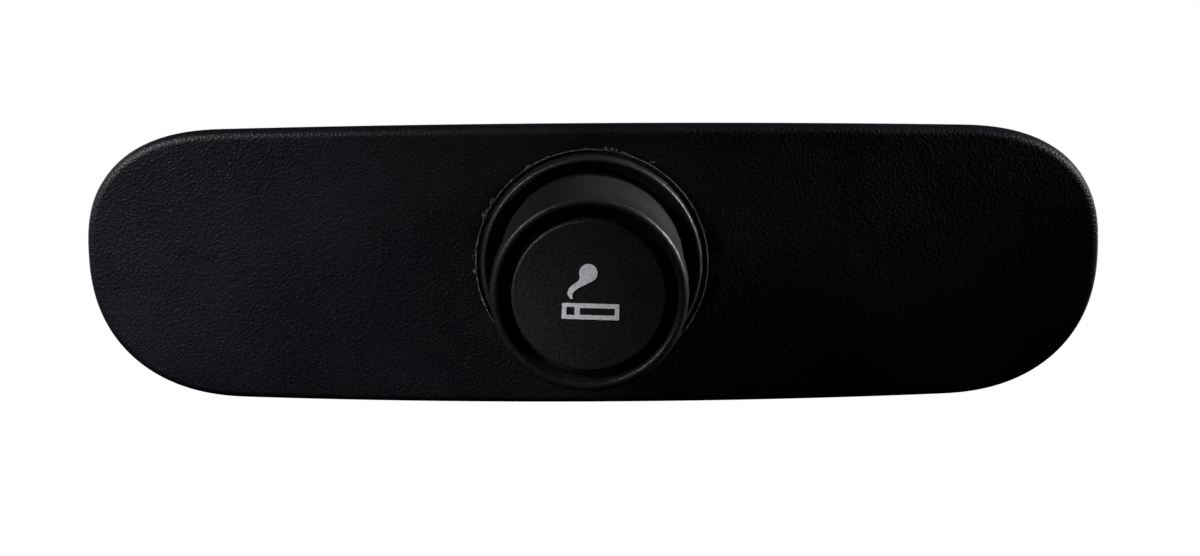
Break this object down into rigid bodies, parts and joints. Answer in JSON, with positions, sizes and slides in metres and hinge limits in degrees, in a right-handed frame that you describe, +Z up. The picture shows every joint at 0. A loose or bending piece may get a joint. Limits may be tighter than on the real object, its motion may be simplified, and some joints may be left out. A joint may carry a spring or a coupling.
{
  "type": "dashboard cigarette lighter",
  "caption": "Push-in lighter knob with a cigarette symbol in a round collar, set through a long leather-covered trim panel, with its socket, clamp and terminals behind.",
  "frame": {"origin": "on the socket's axis, in the plane of the panel's rear seating face", "axes": "+X along the panel to the right as seen from the front, +Y rearwards into the dashboard, +Z up"},
  "size_m": [0.144, 0.0752, 0.0407],
  "materials": {
    "leather": "black, fine pebble grain, low sheen",
    "plate_aluminium": "mill finish, satin",
    "black_plastic": "black, fine matt grain on the faces, satin on the rims",
    "print_ink": "light grey pad print, slightly mottled",
    "zinc_steel": "zinc plated, dull",
    "nickel_steel": "nickel plated, satin",
    "brass": "drawn brass, slightly tarnished",
    "fibre_board": "brown pressed fibre",
    "ceramic": "off-white steatite",
    "heater_alloy": "oxidised resistance ribbon"
  },
  "bodies": {
    "socket": {"grained_cover": "leather", "backing_plate": "plate_aluminium", "collar": "black_plastic", "mounting_stud_left": "zinc_steel", "mounting_stud_right": "zinc_steel", "stud_washer_left": "zinc_steel", "stud_washer_right": "zinc_steel", "stud_nut_left": "zinc_steel", "stud_nut_right": "zinc_steel", "clamp_sleeve": "zinc_steel", "ring_nut": "zinc_steel", "lock_washer": "zinc_steel", "socket_barrel": "nickel_steel", "ground_tab": "brass", "power_tab": "brass", "bimetal_clip": "brass", "contact_stud": "brass", "terminal_nut": "brass", "inner_insulator": "fibre_board", "outer_insulator": "fibre_board"},
    "plug": {"guard_sleeve": "nickel_steel", "return_spring": "zinc_steel"},
    "thrust": {"thrust_washer": "zinc_steel"},
    "knob": {"knob_body": "black_plastic", "face_disc": "black_plastic", "symbol_smoke": "print_ink", "symbol_cigarette": "print_ink", "knob_insert": "brass", "drive_rod": "zinc_steel", "rod_clip": "zinc_steel", "ceramic_insulator": "ceramic", "heater_cup": "zinc_steel", "coil_rivet": "nickel_steel", "heating_coil": "heater_alloy"}
  },
  "joints": [
    {"name": "plug_pull", "type": "slide", "parent": "socket", "child": "plug", "axis": [0, -1, 0], "range_m": [0, 0.045]},
    {"name": "knob_push", "type": "slide", "parent": "plug", "child": "thrust", "axis": [0, 1, 0], "range_m": [0, 0.005], "stiffness_N_per_m": 400, "deforming": ["return_spring"]},
    {"name": "knob_spin", "type": "hinge", "parent": "thrust", "child": "knob", "pos_m": [0, 0, 0], "axis": [0, 1, 0], "continuous": true}
  ]
}
